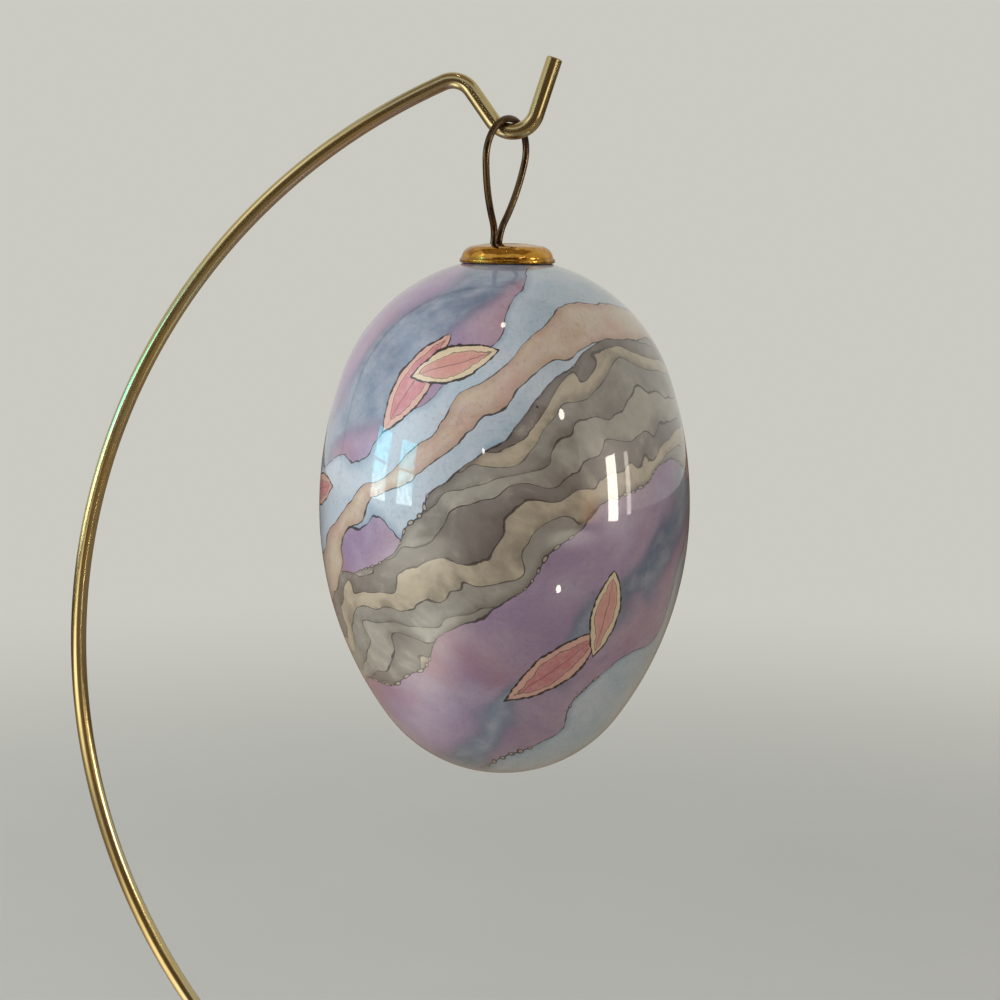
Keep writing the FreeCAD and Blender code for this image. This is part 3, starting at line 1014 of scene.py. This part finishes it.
def lit_table():
    """What gloss sees below it: a dim table top, paler near the stand, with soft pools of light."""
    near_shade = colour(140, 126, 106)
    far_shade = colour(88, 72, 58)
    pool_light = colour(255, 250, 232)
    graph = material_graph("lit_table")
    place = graph.metres()
    far = graph.between(graph.length(place), 0.3, 0.6)
    base = graph.mix(far, near_shade, far_shade)
    pools = 0.0
    # Each pool has a middle and a reach, both in metres, and a strength.
    lit_places = (
        ((-0.34, -0.4, 0), (0.26, 0.42, 1), 1.6),
        ((0.62, -0.5, 0), (0.36, 0.32, 1), 1.3),
        ((-0.1, -0.11, 0), (0.085, 0.18, 1), 1.1),
    )
    for middle, reach, strength in lit_places:
        away_from = graph.length(graph.shrunk(graph.offset(place, middle), reach))
        pools = graph.plus(pools, graph.between(away_from, 0.1, 1.0, strength, 0.0))
    shade = graph.mix(pools, base, pool_light)
    return graph.show(graph.glow(shade, graph.plus(1.0, pools)))


def soft_glow(name, shade, strength, reach):
    """A glow that fades to nothing at a reach in metres from the card's middle."""
    graph = material_graph(name)
    clear = graph.add("ShaderNodeBsdfTransparent").outputs[0]
    share = graph.between(graph.length(graph.metres()), reach, 0.2 * reach)
    return graph.show(graph.blended(share, clear, graph.glow(shade, strength)))


def window_view():
    """What shows in a window: pale sky that turns to blue green above a dim bar across the pane."""
    pale_sky = colour(236, 250, 250)
    blue_green_sky = colour(100, 206, 230)
    bar_height = 15.0
    graph = material_graph("window_view")
    place = graph.millimetres()
    height = graph.parts(place)["Y"]
    blur = graph.noise(place, 70.0, 3.0, 0.5, 1.0)
    rise = graph.plus(graph.times(height, 0.003), graph.times(blur, 1.2))
    sky = graph.mix(graph.between(rise, 0.0, 0.8), pale_sky, blue_green_sky)
    uneven = graph.between(graph.noise(place, 45.0, 2.0, 0.5, 4.0), 0.3, 0.7, 4.5, 10.0)
    off_bar = graph.between(graph.absolute(graph.minus(height, bar_height)), 6.0, 9.0, 0.15, 1.0)
    return graph.show(graph.glow(sky, graph.times(uneven, off_bar)))


def make_lights():
    """Soft light from the left and above, a weak one from the right, and cards for what gloss reflects."""
    lamp = colour(255, 246, 230)
    amber = colour(255, 186, 122)
    daylight = colour(246, 250, 255)
    room_brown = colour(92, 78, 64)
    ceiling_brown = colour(138, 122, 102)
    round_sides = 24
    table_sides = 48
    above_floor = 0.0002
    # Each one has an azimuth, an elevation, a distance, a width and a height, and then how it shines.
    soft_box("soft_left", -66, 12, 1.3, 0.8, 0.8, 15.0, (0.9, 0.95, 1.0))
    soft_box("soft_above", 10, 72, 1.4, 0.9, 0.7, 5.0, (1.0, 0.97, 0.93))
    soft_box("soft_right", 70, 5, 1.3, 0.5, 0.7, 3.5, (1.0, 0.86, 0.74))
    view = window_view()
    for name, azimuth, width in (("pane_left", -72.5, 0.26), ("pane_right", -52.5, 0.25)):
        hang_card(name, azimuth, 5.5, 1.3, width, 0.36, view)
    card("doorway", 78, -2, 1.2, 0.15, 0.5, lamp, 17.0)
    card("doorway_edge", 90, 2, 1.2, 0.07, 0.3, lamp, 6.0)
    hang_card("doorway_glow", 62, -4, 1.25, 0.42, 0.66, soft_glow("doorway_glow", amber, 1.9, 0.2))
    card("lamp_right", 48, 24, 1.6, 0.09, 0.09, lamp, 18.0, round_sides)
    card("lamp_middle", -3.5, 15, 1.6, 0.05, 0.05, lamp, 14.0, round_sides)
    card("lamp_low", 43.5, -25, 0.298, 0.015, 0.015, lamp, 18.0, round_sides)
    card("lamp_high", 1.5, 78, 1.2, 0.05, 0.09, lamp, 14.0, round_sides)
    card("room", 10, 2, 1.6, 3.4, 1.7, room_brown, 1.0)
    card("ceiling", 0, 80, 1.5, 2.4, 1.5, ceiling_brown, 1.0)
    hang_card("curtain", -60, 32, 1.35, 0.9, 0.7, soft_glow("curtain", daylight, 1.7, 0.35))
    table = hang_card("table_reflection", 0, 0, 0, 3.4, 3.4, lit_table(), table_sides)
    table.location = (0, 0, above_floor)
    table.rotation_euler = (0, 0, 0)


def make_camera():
    """A camera with the photograph's place, lean and field of view."""
    turn, pitch, roll = (math.radians(v) for v in (camera_azimuth, camera_pitch, camera_roll))
    back = Vector((math.sin(turn) * math.cos(pitch), -math.cos(turn) * math.cos(pitch), math.sin(pitch)))
    level_right = Vector((math.cos(turn), math.sin(turn), 0))
    level_up = back.cross(level_right)
    right = level_right * math.cos(roll) + level_up * math.sin(roll)
    up = level_up * math.cos(roll) - level_right * math.sin(roll)
    aside = (egg_middle_pixel[0] - picture_pixels / 2) / focal_pixels * camera_distance
    above = (picture_pixels / 2 - egg_middle_pixel[1]) / focal_pixels * camera_distance
    place = Vector((0, 0, egg_middle)) - right * aside - up * above + back * camera_distance
    lens = bpy.data.cameras.new("camera")
    lens.sensor_fit = "HORIZONTAL"
    lens.sensor_width = 36.0
    lens.lens = focal_pixels / picture_pixels * lens.sensor_width
    lens.clip_start = 0.01
    lens.clip_end = 50.0
    made = bpy.data.objects.new("camera", lens)
    bpy.context.scene.collection.objects.link(made)
    rotation = Matrix((right, up, back)).transposed().to_4x4()
    made.matrix_world = Matrix.Translation(place * METRE) @ rotation
    bpy.context.scene.camera = made


stand_piece, loop_piece, egg_piece, cap_piece = make_pieces()
paint(stand_piece, brass_wire())
paint(loop_piece, dark_wire())
paint(cap_piece, gilt_sheet())
paint(egg_piece, glazed_ink())
paint(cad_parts["cap_cement"], pale_cement())
make_floor()
make_world()
make_lights()
make_camera()
bpy.context.scene.view_settings.view_transform = "Standard"
